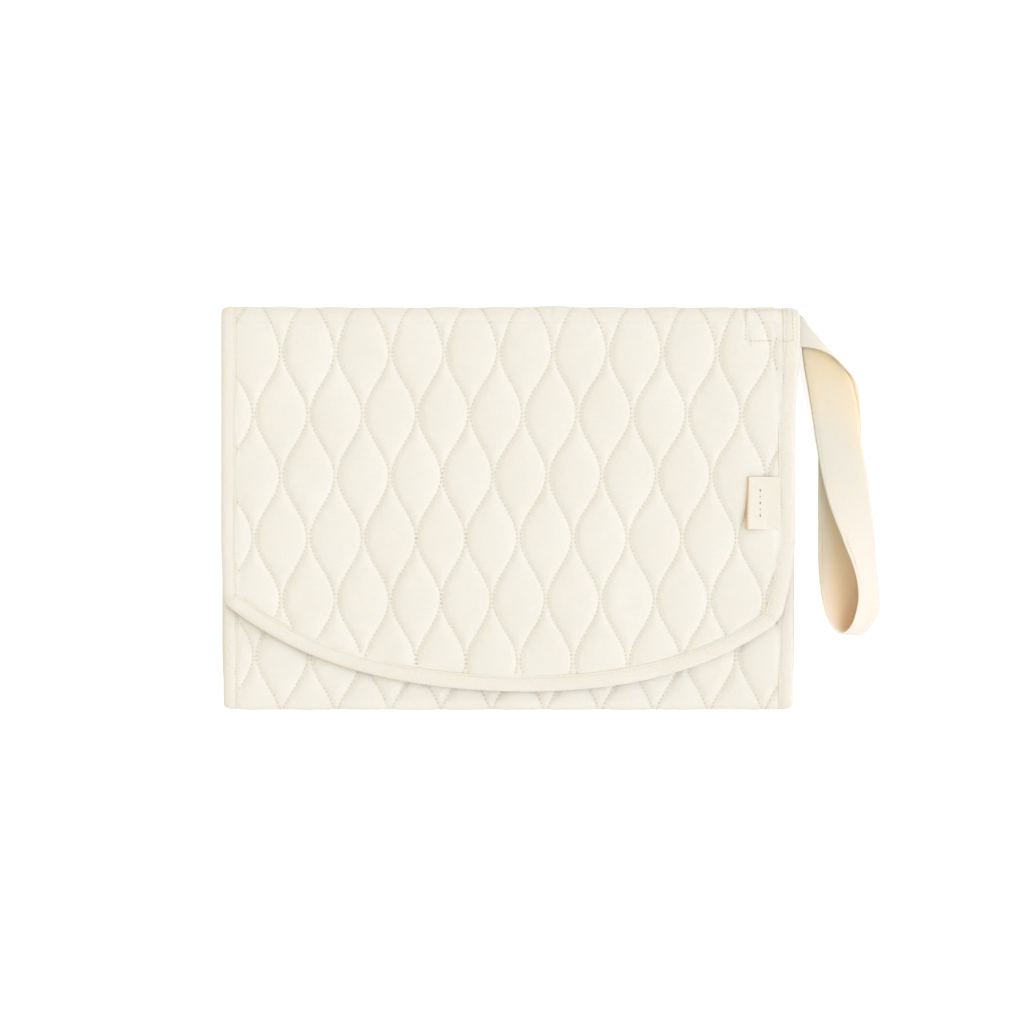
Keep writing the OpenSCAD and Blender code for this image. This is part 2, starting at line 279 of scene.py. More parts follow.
# Creases pressed into the flap: where each is, half its length, its slope and its depth
CREASES = ((-149, -35, 5, 0.05, 0.18), (-122, -35, 6, -0.06, 0.2), (-91, -36, 6, 0.04, 0.18),
           (-55, -73, 7, 0.0, 0.26), (-8, -31, 5, -0.3, 0.14), (-30, 48, 7, 0.1, 0.12),
           (62, 22, 7, -0.12, 0.12), (40, -40, 6, 0.25, 0.1), (118, -12, 5, 0.1, 0.14),
           (25, 116, 5, 8.0, 0.3), (27, 108, 4, -6.0, 0.2), (96, 60, 6, -0.2, 0.1))


def creases(x, s):
    total = 0 * x
    for at_x, at_s, half, slope, deep in CREASES:
        turn = math.atan(slope)
        dx, ds = x - at_x * MM, s - at_s * MM
        along = dx * math.cos(turn) + ds * math.sin(turn)
        off = ds * math.cos(turn) - dx * math.sin(turn) - along**2 * 8
        total = total + deep * np.exp(-((along / (half * MM)) ** 4) - (off / (0.9 * MM)) ** 2)
    return total


# A small tuck was sewn into the front panel's cloth at the bottom fold
TUCK_X, TUCK_S = -7 * MM, S_FRONT + 2 * MM


def tuck_fold(x, s):
    up = np.clip((s - TUCK_S) / (14 * MM), 0, 1)
    off = np.abs(np.abs(x - TUCK_X) - 5.5 * MM * up)
    fade = np.exp(-((up / 0.8) ** 4)) * smooth((s - TUCK_S) / (4 * MM) + 1)
    return 0.22 * fade * bell(off / (0.9 * MM))


def strap_mark(x, s):
    """Depth of the soft lines that the strap's thick end presses into the cloth on top of it."""
    on_flap = smooth((s - BOX_LOW.y + 6 * MM) / (5 * MM)) * (s < S_BACK)
    left = BOX_LOW.x - 0.4 * MM + (S_TOP + 2 * MM - s) * 0.16
    right = HALF + 0.2 * MM - (s - BOX_LOW.y) * 0.02
    return on_flap * (0.8 * MM * bell((x - left) / MM)
                      + 0.55 * MM * bell((x - right) / (0.7 * MM)))


def crown(x, s):
    """Height of the pillows between the quilting lines, from 0 on a line to about 1."""
    lines = lines_near(x, s)
    left = np.max(np.where(lines <= x, lines, -FAR), axis=0)
    right = np.min(np.where(lines > x, lines, FAR), axis=0)
    width = right - left
    t = np.clip((x - left) / width, 0, 1)
    near = np.minimum(x - left, right - x)
    valley = np.maximum(near - 0.45 * MM, 0)
    dome = 0.35 * (4 * t * (1 - t)) ** 0.8 + 0.65 * (1 - np.exp(-((valley / (2.3 * MM)) ** 1.15)))
    body = (1 - np.exp(-width / (6 * MM))) * dome
    pucker = 0.05 * PUCKER(x * 0.6, s * 1.2) * np.exp(-near / (3 * MM)) * smooth(near / MM)
    high = body * (1 + 0.06 * SOFT(x, s)) + pucker + 0.014 * FINE(x, s) * body
    # Drawn tight round the folds, the pillows hardly stand out there
    from_top = np.maximum(np.abs(s - S_TIP) - 12 * MM, 0)
    from_bottom = np.maximum(np.abs(s - (S_BOTTOM + S_FRONT) / 2) - 6 * MM, 0)
    slack = 1 - 0.72 * bell(from_top / (7 * MM)) - 0.75 * bell(from_bottom / (6 * MM))
    high = 1 - (1 - high) * slack
    # Sewn down flat where the strap's end lies under it
    edge = np.minimum(x - BOX_LOW.x, s - BOX_LOW.y)
    inside = smooth(edge / (2.2 * MM) + 0.4) * smooth((HALF - 11 * MM - x) / (2 * MM))
    away = np.clip((s - BOX_LOW.y) / (18 * MM), 0, 1) * smooth((S_TOP + 3 * MM - s) / (5 * MM))
    flat = 0.3 * inside * (s < S_BACK) * away
    high = high * (1 - flat) - flat - strap_mark(x, s) / PILLOW_H
    high = high - creases(x, s) * body - tuck_fold(x, s)
    return np.clip(high, 0, 1.1)


def tuck_in(high, distance):
    """Pillows and seams come to one height where they go under the binding."""
    near = np.exp(-np.maximum(distance, 0) / (1.2 * MM))
    return high * (1 - near) + 0.56 * near


# ------ meshes

def put(name, data):
    """A new object with this data, in the scene."""
    obj = bpy.data.objects.new(name, data)
    bpy.context.scene.collection.objects.link(obj)
    return obj


def new_object(name, points, faces, material, cloth=None):
    mesh = bpy.data.meshes.new(name)
    mesh.from_pydata([tuple(p) for p in np.asarray(points).reshape(-1, 3)], [], faces)
    mesh.validate()
    mesh.polygons.foreach_set("use_smooth", [True] * len(mesh.polygons))
    if cloth is not None:
        layer = mesh.attributes.new("cloth", "FLOAT_VECTOR", "POINT")
        flat = np.zeros((len(mesh.vertices), 3), np.float32)
        flat[:, : cloth.shape[-1]] = np.asarray(cloth, np.float32).reshape(-1, cloth.shape[-1])
        layer.data.foreach_set("vector", flat.ravel())
    mesh.materials.append(material)
    return put(name, mesh)


def grid_faces(rows, cols, start=0, flip=False, loop=False):
    """The four-sided faces of a grid of points. With loop, each row closes on itself."""
    faces = []
    for i in range(rows - 1):
        for j in range(cols if loop else cols - 1):
            a = start + i * cols + j
            b = start + i * cols + (j + 1) % cols
            faces.append((a, a + cols, b + cols, b) if flip else (a, b, b + cols, a + cols))
    return faces


def sharpen(obj, at):
    """A crisp edge between these vertices, so that a flat end doesn't shade its rim."""
    mesh = obj.data
    rim = np.zeros(len(mesh.vertices), bool)
    rim[at] = True
    ends = np.zeros(2 * len(mesh.edges), np.int32)
    mesh.edges.foreach_get("vertices", ends)
    mesh.edges.foreach_set("use_edge_sharp", rim[ends[::2]] & rim[ends[1::2]])
    return obj


def padded_solid(name, outer, inner, material, x, s, step=4):
    """A closed solid: a fine outer skin, a coarse inner skin and the walls between them."""
    cloth = np.stack([x, s], -1)
    rows, cols = outer.shape[:2]
    coarse = inner[::step, ::step]
    crow, ccol = coarse.shape[:2]
    base = rows * cols
    faces = grid_faces(rows, cols) + grid_faces(crow, ccol, base, flip=True)
    fine = np.arange(base).reshape(rows, cols)
    rough = base + np.arange(crow * ccol).reshape(crow, ccol)
    for i, turn in ((0, 1), (-1, -1)):
        for edge, far, way in ((fine[:, i], rough[:, i], turn), (fine[i], rough[i], -turn)):
            for k in range(len(far) - 1):
                ring = [*edge[k * step : (k + 1) * step + 1], far[k + 1], far[k]]
                faces.append(tuple(int(v) for v in ring[::way]))
    points = np.concatenate([outer.reshape(-1, 3), coarse.reshape(-1, 3)])
    flat = np.concatenate([cloth.reshape(-1, 2), cloth[::step, ::step].reshape(-1, 2)])
    rim = np.concatenate([fine[0], fine[-1], fine[:, 0], fine[:, -1]])
    return sharpen(new_object(name, points, faces, material, flat), rim)


def swept_rings(name, tubes, material):
    """Closed tubes through rings of points, with flat ends. Each is its rings and their cloth."""
    points, flats, faces, rims, base = [], [], [], [], 0
    for rings, cloth in tubes:
        rows, cols = rings.shape[:2]
        faces += grid_faces(rows, cols, base, loop=True)
        faces.append(tuple(base + k for k in range(cols - 1, -1, -1)))
        faces.append(tuple(base + (rows - 1) * cols + k for k in range(cols)))
        rims += [base + np.arange(cols), base + (rows - 1) * cols + np.arange(cols)]
        points.append(rings.reshape(-1, 3))
        flats.append(cloth.reshape(rows * cols, -1))
        base += rows * cols
    made = new_object(name, np.concatenate(points), faces, material, np.concatenate(flats))
    return sharpen(made, np.concatenate(rims))


def fold_rows():
    """Places along the top fold, close together at its two ends."""
    return S_TOP + (S_BACK - S_TOP) * (1 - np.cos(np.linspace(0, math.pi, 33))) / 2


def attach(made, how, slot, *nodes):
    """Says which nodes a piece stands for, and what it moves with. Its slot, a material's name, is
    not used.

    how is a body's name, or a function to call on the piece.
    """
    if callable(how):
        how(made)
    else:
        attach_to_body(made, how)
    if nodes:
        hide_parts(*nodes)


def top_fold(made):
    """The top fold stays with the back, on a mesh of its own."""
    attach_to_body(made, "back")
    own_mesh(made)


def bottom_fold(made):
    """Cloth that goes round the bottom fold, with its place baked into its mesh."""
    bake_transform(made)


# The rings of a stitch: place along it, thickness and rise
THREAD_RINGS = ((-0.5, 0.35, -0.7), (-0.3, 0.95, 0.0), (0.0, 1.0, 0.25), (0.3, 0.95, 0.0),
                (0.5, 0.35, -0.7))
THREAD_SIDES = 6


def stitches(name, spots, along, out, length, radius, lift=0.0):
    """Short rounded threads at the given spots, lying along the seam."""
    spots, along, out = (np.asarray(a, float) for a in (spots, along, out))
    along = unit(along)
    out = unit(out - along * np.sum(out * along, axis=1, keepdims=True))
    across = np.cross(along, out)
    points, faces = [], []
    for at, thick, rise in THREAD_RINGS:
        for k in range(THREAD_SIDES):
            a = 2 * math.pi * k / THREAD_SIDES
            points.append(spots + along * at * length + across * (math.cos(a) * thick * radius)
                          + out * (math.sin(a) * thick * radius + rise * radius + lift))
    block = np.stack(points, 1)
    count = block.shape[1]
    pattern = grid_faces(len(THREAD_RINGS), THREAD_SIDES, loop=True)
    pattern.append(tuple(range(THREAD_SIDES - 1, -1, -1)))
    pattern.append(tuple(range(count - THREAD_SIDES, count)))
    for i in range(len(spots)):
        faces.extend(tuple(i * count + v for v in f) for f in pattern)
    return new_object(name, block, faces, thread)


def join_stitches(places):
    """Spots, the way along and the way out, from points here, just ahead and above."""
    here, ahead, above = (np.concatenate(points) for points in zip(*places))
    return here, ahead - here, above - here


# ------ cloth pass

def swollen(x0, x1, s0, s1, step=2.1 * MM, frames=14):
    """The outer cloth let swell between its stitches: a height, and how to look it up."""
    across = np.linspace(x0, x1, round((x1 - x0) / step) + 1)
    along = np.linspace(s0, s1, round((s1 - s0) / step) + 1)
    x, s = np.meshgrid(across, along)
    rows, cols = x.shape
    obj = new_object("cloth_pass", np.stack([x, s, 0 * x], -1), grid_faces(rows, cols),
                     quilt_cloth)
    sewn = np.min(np.abs(lines_near(x, s) - x), axis=0) < 0.55 * step
    sewn[0] = sewn[-1] = sewn[:, 0] = sewn[:, -1] = True
    obj.vertex_groups.new(name="sewn").add(np.flatnonzero(sewn).tolist(), 1.0, "REPLACE")
    cloth = obj.modifiers.new("cloth", "CLOTH")
    values = dict(vertex_group_mass="sewn", mass=0.1, quality=5, tension_stiffness=15,
                  compression_stiffness=15, shear_stiffness=5, bending_stiffness=0.1,
                  use_pressure=True, uniform_pressure_force=8, shrink_min=-0.03)
    for key, value in values.items():
        setattr(cloth.settings, key, value)
    cloth.settings.effector_weights.gravity = 0
    cloth.collision_settings.use_collision = False
    cloth.point_cache.frame_start, cloth.point_cache.frame_end = 1, frames
    scene = bpy.context.scene
    for step_now in range(1, frames + 1):
        scene.frame_set(step_now)
    shape = obj.evaluated_get(bpy.context.evaluated_depsgraph_get()).data
    moved = np.zeros(rows * cols * 3, np.float32)
    shape.vertices.foreach_get("co", moved)
    height = moved.reshape(rows, cols, 3)[..., 2].astype(float)
    height = np.clip(height / np.percentile(height, 97), -0.3, 1.3)
    scene.frame_set(1)
    bpy.data.objects.remove(obj)

    def look_up(x, s):
        i = np.clip((x - x0) / (x1 - x0) * (cols - 1), 0, cols - 1.001)
        j = np.clip((s - s0) / (s1 - s0) * (rows - 1), 0, rows - 1.001)
        a, b = i.astype(int), j.astype(int)
        u, v = smooth(i - a), smooth(j - b)
        low, top = (height[row, a] * (1 - u) + height[row, a + 1] * u for row in (b, b + 1))
        return low * (1 - v) + top * v

    return look_up


def swell(high, x, s, look_up):
    """Adds the wrinkles of the swollen cloth to the pillows."""
    if look_up is None:
        return high
    return high + 0.2 * (look_up(x, s) - high) * smooth(high * 2)


# ------ materials

def node(tree, kind, **values):
    made = tree.nodes.new(kind)
    for key, value in values.items():
        setattr(made, key, value)
    return made


def fill(made, values):
    """Gives a node's inputs their values."""
    for key, value in values.items():
        made.inputs[key].default_value = value
    return made


def cloth_material(name, colour, pitch, twill=False, rough=0.9, sheen=0.25, weave=0.35,
                   tint=0.09, fuzz=0.5, creases=0.0, glow=0.0, glow_depth=1.5 * MM, inside=None):
    """Woven cotton: a thread pattern in the bump, and slow and fine changes of colour.

    inside is a colour of painted shade, shown where the cloth's third coordinate is 1: the warm
    shade on a fold's inner face, in a gap or under a ply.
    """
    made = bpy.data.materials.new(name)
    made.use_nodes = True
    tree = made.node_tree

    def calc(operation, *values):
        step = node(tree, "ShaderNodeMath", operation=operation)
        for slot, value in zip(step.inputs, values):
            if isinstance(value, (int, float)):
                slot.default_value = value
            else:
                tree.links.new(value, slot)
        return step.outputs[0]

    def wave(value, turn):
        return calc("SINE", calc("MULTIPLY", value, turn))

    def noise(scale, detail):
        step = fill(node(tree, "ShaderNodeTexNoise"), {"Scale": scale, "Detail": detail})
        tree.links.new(where.outputs["Vector"], step.inputs["Vector"])
        return step.outputs["Fac"]

    shader = fill(tree.nodes["Principled BSDF"], {
        "Roughness": rough, "Sheen Weight": sheen, "Sheen Roughness": 0.5,
        "Specular IOR Level": 0.2, "Subsurface Weight": glow,
        "Subsurface Radius": (1.0, 0.5, 0.2), "Subsurface Scale": glow_depth})
    where = node(tree, "ShaderNodeAttribute", attribute_name="cloth")
    split = node(tree, "ShaderNodeSeparateXYZ")
    tree.links.new(where.outputs["Vector"], split.inputs[0])
    turn = 2 * math.pi / pitch
    warp, weft = split.outputs[0], split.outputs[1]
    if twill:
        threads = calc("ADD", wave(calc("ADD", warp, weft), turn),
                       calc("MULTIPLY", wave(warp, turn * 1.7), 0.35))
    else:
        threads = calc("MULTIPLY", wave(warp, turn), wave(weft, turn))
    slubs, slow = noise(700, 3), noise(22, 4)
    height = calc("ADD", calc("MULTIPLY", threads, weave), calc("MULTIPLY", slubs, fuzz))
    if creases:
        height = calc("ADD", height, calc("MULTIPLY", slow, creases))
    bump = fill(node(tree, "ShaderNodeBump"), {"Strength": 0.5, "Distance": 0.2 * MM})
    tree.links.new(height, bump.inputs["Height"])
    tree.links.new(bump.outputs["Normal"], shader.inputs["Normal"])
    darker = [c * (1 - tint * k) for c, k in zip(colour, (0.8, 1.0, 1.5))]
    # A colour mix has its two colours at inputs 6 and 7, and its colour at output 2
    ramp = fill(node(tree, "ShaderNodeMix", data_type="RGBA"), {6: (*darker, 1), 7: (*colour, 1)})
    blend = calc("ADD", calc("MULTIPLY", slow, 0.6), calc("MULTIPLY", slubs, 0.5))
    tree.links.new(blend, ramp.inputs["Factor"])
    shown = ramp.outputs[2]
    # Painted shade: the inside colour is mixed in by the cloth's third coordinate
    if inside:
        turned = fill(node(tree, "ShaderNodeMix", data_type="RGBA"), {7: (*inside, 1)})
        tree.links.new(split.outputs[2], turned.inputs["Factor"])
        tree.links.new(shown, turned.inputs[6])
        shown = turned.outputs[2]
    tree.links.new(shown, shader.inputs["Base Color"])
    return made


quilt_cloth = cloth_material("quilted_cotton", (0.85, 0.832, 0.775), 0.55 * MM, glow=0.15,
                             tint=0.12, fuzz=0.8)
# The binding's inside colour is painted shade: a thin warm line along its inner edge, for the
# shaded gap against the quilt
bind_cloth = cloth_material("binding_twill", (0.868, 0.835, 0.768), 1.1 * MM, twill=True, weave=0.9,
                            glow=0.3, inside=(0.85, 0.66, 0.42))
# The strap's inside colour is painted shade, for warm light bounced between its plies in the loop
# and under the fold
strap_cloth = cloth_material("strap_twill", (0.865, 0.80, 0.73), 0.8 * MM, twill=True, weave=0.45,
                             glow=0.68, glow_depth=3 * MM, inside=(1.0, 0.745, 0.52))
lining_cloth = cloth_material("coated_lining", (0.80, 0.78, 0.71), 0.5 * MM, rough=0.55, sheen=0.0,
                              weave=0.15, fuzz=0.1, creases=0.6)
# Ecru thread, darker than the cloth: partly the thread's own tone, partly painted shade for the
# needle holes it dips into
thread = cloth_material("sewing_thread", (0.77, 0.70, 0.53), 0.3 * MM, rough=0.7, sheen=0.1)
# The label's inside colour is painted shade, for the shaded gap under its folded upper ply
label_cloth = cloth_material("label_ribbon", (0.91, 0.85, 0.755), 0.35 * MM, weave=0.5,
                            glow=0.12, inside=(0.92, 0.58, 0.28))
mark_thread = cloth_material("label_mark", (0.30, 0.25, 0.20), 0.3 * MM)
hook_cloth = cloth_material("hook_tape", (0.78, 0.76, 0.70), 0.8 * MM, weave=0.8, rough=0.6)
loop_cloth = cloth_material("loop_tape", (0.80, 0.78, 0.71), 0.7 * MM, weave=0.4, fuzz=1.0)


# ------ quilted layers

TUCK = BIND_W - 1.5 * MM
INNER_DROP = BACK_THICK - CLOTH_T
COLS = 321
# Width of the flap's binding against the rest, on its left side, curved end and right side
WIDTHS = (1.04, 1.08, 1.17)
LIP = 9.08 * MM


def flap_low_row(u):
    """The lowest row of the flap's cloth, under its curved binding."""
    reach = 1 - 0.004 * TUCK / MM
    low = flap_end(u * reach) + TUCK * end_normal(u * reach)
    for side, k in ((-1, 0), (1, -1)):
        point, way = mitre(side)
        low[k] = point + TUCK * way
    return low


def flap_cover():
    low = flap_low_row(np.linspace(-1, 1, COLS))

    def side_x(side, y):
        share = np.clip((y - TOP_Y) / (CORNER_Y[side] - TOP_Y), 0, 1)
        return flap_side(side, share)[..., 0] - side * TUCK

    swollen_cloth = swollen(-HALF, HALF, float(low[:, 1].min()), S_BACK)
    left0, right0 = side_x(-1, low[:, 1]), side_x(1, low[:, 1])
    t = (low[:, 0] - left0) / (right0 - left0)

    def cover(name, s, how, *nodes):
        left, right = side_x(-1, s), side_x(1, s)
        x = left + (right - left) * t
        high = tuck_in(swell(crown(x, s), x, s, swollen_cloth), flap_edge(x, s))
        outer = place(x, s, PILLOW_H * (1 - high))
        made = padded_solid(name, outer, place(x, s, INNER_DROP), quilt_cloth, x, s)
        attach(made, how, "quilted_cotton", *nodes)

    cover("flap_quilt", low[:, 1] + (S_TOP - low[:, 1]) * np.linspace(0, 1, 225)[:, None],
          "flap", "flap_outer_quilt", "flap_wadding", "flap_membrane")
    cover("top_fold_quilt", fold_rows()[:, None] + 0 * t,
          top_fold, "top_fold_outer_quilt", "top_fold_wadding", "top_fold_membrane")


def straight_cover(name, half, s0, s1, rows, top_edge, how, *nodes):
    """A rectangle of quilting between two places along the mat."""
    x, s = np.meshgrid(np.linspace(-half + TUCK, half - TUCK, COLS),
                       np.linspace(s0, s1 - (TUCK if top_edge else 0), rows))
    edge = np.minimum(x + half, half - x) - LIP
    if top_edge:
        edge = np.minimum(edge, s1 - s - LIP)
    high = tuck_in(swell(crown(x, s), x, s, swollen(-half, half, s0, s1)), edge)
    resting = smooth((s - S_BACK) / (8 * MM)) * smooth((S_BOTTOM - s) / (8 * MM))
    # Lying on the table, the pillows are pressed gently flat
    pressed = np.log1p(np.exp((1 - high * (1 + 0.25 * resting)) * 14)) / 14
    high = np.where(resting > 0, 1 - pressed + math.log(2) / 14 * resting, high)
    outer = place(x, s, PILLOW_H * (1 - np.clip(high, 0, 1)))
    made = padded_solid(name, outer, place(x, s, INNER_DROP), quilt_cloth, x, s)
    attach(made, how, "quilted_cotton", *nodes)


# ------ binding

MID_DROP = BACK_THICK / 2
# Half of the folded binding's section: distance in from its outer edge, and height above its
# middle, from the inner edge of the outer face to the outer edge
HALF_SECTION = np.array([
    (9.0, 0.7), (9.08, 1.5), (8.9, 1.95), (8.4, 2.08), (7.75, 1.92), (7.2, 1.92), (6.6, 2.12),
    (5.4, 2.24), (4.2, 2.28), (3.0, 2.22), (2.0, 2.02), (1.15, 1.65), (0.5, 1.1), (0.1, 0.4),
]) * MM
SECTION = np.concatenate([HALF_SECTION, (HALF_SECTION * (1, -1))[::-1]])
STITCH_INSET = 7.45 * MM


def join_mark(x, s):
    """Depth of the slanted join between two lengths of binding, low on the left."""
    off = (s - S_FRONT - 19 * MM) + 0.75 * (x + HALF - 6 * MM)
    near = smooth((12 * MM - HALF - x) / (2 * MM)) * (np.abs(s - S_FRONT - 19 * MM) < 14 * MM)
    return 0.35 * MM * near * bell(off / (0.8 * MM))


def binding(points, ways, corners=()):
    """The section swept along a path, and the cloth's own measures, with a share of painted shade
    along the inner edge.

    Each station on the path is a point at no inset, and the way that it moves for an inset.
    """
    d, e = SECTION[:, 0], SECTION[:, 1]
    x, s = np.moveaxis(inset_path(points, ways, d, corners), -1, 0)
    plump = 1 + 0.07 * SOFT(x[:, 8:9] * 0.7, s[:, 8:9] * 0.7) + 0.02 * FINE(x, s)
    pressed = strap_mark(x, s) + join_mark(x, s) + mitre_mark(x, s)
    pressed = pressed * np.clip(e / (1.5 * MM), 0, 1)
    rings = round_corners(place(x, s, MID_DROP - e * plump + pressed), d)
    # Painted shade: the innermost part of the section, next to the quilt, takes the warm inside
    # colour
    painted_edge_shade = np.clip((d - 8.45 * MM) / (0.4 * MM), 0, 1)
    cloth = np.broadcast_arrays(path_length(SECTION), path_length(points)[:, None], painted_edge_shade)
    return rings, np.stack(cloth, -1)


def inset_path(points, ways, d, corners, reach=3.2 * MM):
    """The path at each inset. Outer corners of a mitred binding are a little round."""
    length = path_length(points)
    base = points[:, None] + d[:, None] * ways[:, None]
    for corner, way, pull in corners:
        at = length[np.argmin(np.linalg.norm(points - corner, axis=1))]
        near = bell((length - at) / reach)[:, None]
        share = pull * near * np.clip(1 - d / BIND_W, 0, 1)
        base = base + share[..., None] * unit(way)
    return base


def round_corners(points, inset):
    """Where the binding goes round a fold, the corner seen from above is a little round."""
    share = np.clip(1 - inset / BIND_W, 0, 1)
    right = points[..., 0] > 0
    for edge, way, radius in ((TOP_Y + R_TOP, 1, np.where(right, 5.2 * MM, 3.2 * MM)),
                              (BOT_Y - R_BOT, -1, 4.6 * MM)):
        short = np.clip(way * (edge - points[..., 1]), 0, radius)
        pull = radius - np.sqrt(radius**2 - (radius - short) ** 2)
        points[..., 0] -= np.sign(points[..., 0]) * pull * share
    return points


def strap_bulge(s):
    """The strap's end makes the flap's right edge stand out near the top."""
    return 2.6 * MM * np.clip((s - 43 * MM) / (50 * MM), 0, 1) ** 1.6


SIDES = ((-1, "left"), (1, "right"))
# Each mitred corner so far, with the line of its fold and the way beside the line
MITRES = []


def turn_corners(runs, corners):
    """One path from runs of points and their ways.

    Near a mitre the section turns round the inner corner, so that nothing crosses.
    """
    runs = [(np.asarray(p, float).reshape(-1, 2), np.asarray(way, float)) for p, way in runs]
    points = np.concatenate([p for p, _ in runs])
    ways = np.concatenate([np.broadcast_to(way, p.shape) for p, way in runs])
    turned = ways.copy()
    for corner in corners:
        from_corner = points - corner
        way = ways[np.argmin(np.linalg.norm(from_corner, axis=1))]
        line = unit(way)
        beside = np.array([line[1], -line[0]])
        past = (from_corner + LIP * ways) @ beside * np.sign(from_corner @ beside)
        over = (past < 0) & (np.linalg.norm(from_corner, axis=1) < 25 * MM)
        turned[over] = way - from_corner[over] / LIP
        MITRES.append((corner, line, beside))
    return points, turned


def mitre_mark(x, s):
    """Depth of the line where two lengths of binding are folded together at a corner."""
    deep = 0 * x * s
    for corner, line, beside in MITRES:
        along = (x - corner[0]) * line[0] + (s - corner[1]) * line[1]
        off = (x - corner[0]) * beside[0] + (s - corner[1]) * beside[1]
        ends = smooth((along - 2 * MM) / (3 * MM)) * smooth((13 * MM - along) / MM)
        deep = np.maximum(deep, 0.4 * MM * ends * bell(off / (0.45 * MM)))
    return deep


def flap_path():
    """Stations round the flap: a point at no inset, and the way it moves for an inset."""
    v = np.concatenate([np.linspace(0, 0.96, 110), np.linspace(0.965, 0.995, 7)])
    u = np.concatenate([[-0.998, -0.994], np.linspace(-0.99, 0.99, 231), [0.994, 0.998]])
    left, curve, right = WIDTHS
    rising = flap_side(1, v[::-1])
    rising[:, 0] += strap_bulge(rising[:, 1])
    runs = [(flap_side(-1, v), side_normal(-1, v) * left), mitre(-1, left, curve),
            (flap_end(u), end_normal(u) * curve), mitre(1, right, curve),
            (rising, side_normal(1, v[::-1]) * right)]
    return turn_corners(runs, [mitre(-1)[0], mitre(1)[0]])


def fold_paths():
    """The same stations on the two ends of the top fold, up the left and down the right."""
    s = fold_rows()
    left, right = np.stack([0 * s - HALF, s], -1)[::-1], np.stack([HALF + strap_bulge(s), s], -1)
    return [(left, 0 * left + (WIDTHS[0], 0)), (right, 0 * right - (WIDTHS[2], 0))]


def front_path():
    up = np.concatenate([np.linspace(S_BOTTOM, S_FRONT, 20)[:-1],
                         np.linspace(S_FRONT, S_END - 0.4 * MM, 110)])
    across = np.linspace(-FRONT_HALF + 0.4 * MM, FRONT_HALF - 0.4 * MM, 210)
    corners = [np.array([side * FRONT_HALF, S_END]) for side in (-1, 1)]
    runs = [(np.stack([0 * up - FRONT_HALF, up], -1), (1, 0)), (corners[0], (1, -1)),
            (np.stack([across, 0 * across + S_END], -1), (0, -1)), (corners[1], (-1, -1)),
            (np.stack([0 * up + FRONT_HALF, up[::-1]], -1), (-1, 0))]
    return turn_corners(runs, corners)


def back_path(side):
    s = np.linspace(S_BACK, S_BOTTOM, 150)[::side]
    narrow = (HALF - FRONT_HALF) * smooth((s - S_BOTTOM + 30 * MM) / (30 * MM))
    points = np.stack([side * (HALF - narrow), s], -1)
    return points, 0 * points + (-side, 0)


def bindings():
    def bind(name, paths, how, *nodes, corners=()):
        tubes = [binding(*path, corners) for path in paths]
        attach(swept_rings(name, tubes, bind_cloth), how, "binding", *nodes)

    bind("flap_binding", [flap_path()], "flap", "flap_binding_left", "flap_binding_right",
         "flap_binding_curve", corners=[(*mitre(-1), 0.8 * MM), (*mitre(1), 1.3 * MM)])
    bind("top_fold_binding", fold_paths(), top_fold, "top_fold_bindings")
    corners = [((k * FRONT_HALF, S_END), (-k, -1), 1.3 * MM) for k in (-1, 1)]
    bind("front_binding", [front_path()], bottom_fold, "front_binding_left",
         "front_binding_right", "front_binding_top", "bottom_fold_bindings", corners=corners)
    for side, name in SIDES:
        bind(f"back_binding_{name}_cloth", [back_path(side)], "back", f"back_binding_{name}")


# ------ linings

# Half the gap between the back's lining and the front's, along the bottom fold
LINING_GAP = 0.1 * MM


def lining(name, x, s, how, *nodes):
    """A thin closed sheet with its face on the inside of the fold."""
    wrinkle = 0.12 * MM * FINE(x, s) + 0.2 * MM * SOFT(x, s)
    outer = place(x, s, INNER_DROP + 0 * x)
    inner = place(x, s, BACK_THICK - 0.25 * MM + wrinkle)
    made = padded_solid(name, inner, outer, lining_cloth, x, s)
    made.data.flip_normals()
    attach(made, how, "lining", *nodes)
    return made


def flap_lining():
    u = np.linspace(-1, 1, 129)
    low = flap_low_row(u)
    v = np.linspace(0, 1, 97)[:, None]
    s = low[:, 1] + (S_TOP - low[:, 1]) * v
    spread = smooth((s - low[:, 1]) / (TOP_Y - CORNER_Y[1]))
    x = low[:, 0] + (u * (HALF - TUCK) - low[:, 0]) * spread
    made = lining("flap_lining_cloth", x, s, "flap", "flap_lining")
    x, s = np.meshgrid(u * (HALF - TUCK), fold_rows())
    made = lining("top_fold_lining_cloth", x, s, top_fold, "top_fold_lining")


def straight_lining(name, half, s0, s1, rows, how, held, under, *nodes):
    x, s = np.meshgrid(np.linspace(-half + TUCK, half - TUCK, 129), np.linspace(s0, s1, rows))
    made = lining(name, x, s, how, *nodes)


# ------ stitches

def even_steps(j, s0, s1):
    """Places along a wavy line that are one stitch apart, measured on the line."""
    s = np.arange(s0, s1, 0.2 * MM)
    run = np.cumsum(np.hypot(1, line_slope(j, s))) * 0.2 * MM
    return np.interp(np.arange(run[0], run[-1], STITCH_PITCH), run, s)


def quilt_stitches(name, edge_of, s0, s1, how):
    """Threads along every quilting line, where it shows between the bindings."""
    step, sunk = 0.2 * MM, 0.25 * MM
    places = []
    for j in range(-12, 12):
        s = even_steps(j, s0, s1)
        x = line_x(j, s)
        edge = edge_of(x, s)
        s, x, edge = s[edge > 0], x[edge > 0], edge[edge > 0]
        if len(s):
            drop = PILLOW_H * (1 - tuck_in(crown(x, s), edge)) - sunk
            ahead = place(x + line_slope(j, s) * step, s + step, drop)
            places.append((place(x, s, drop), ahead, place(x, s, drop - MM)))
    made = stitches(name, *join_stitches(places), 1.4 * MM, 0.28 * MM, lift=0.05 * MM)
    attach(made, how, "thread")


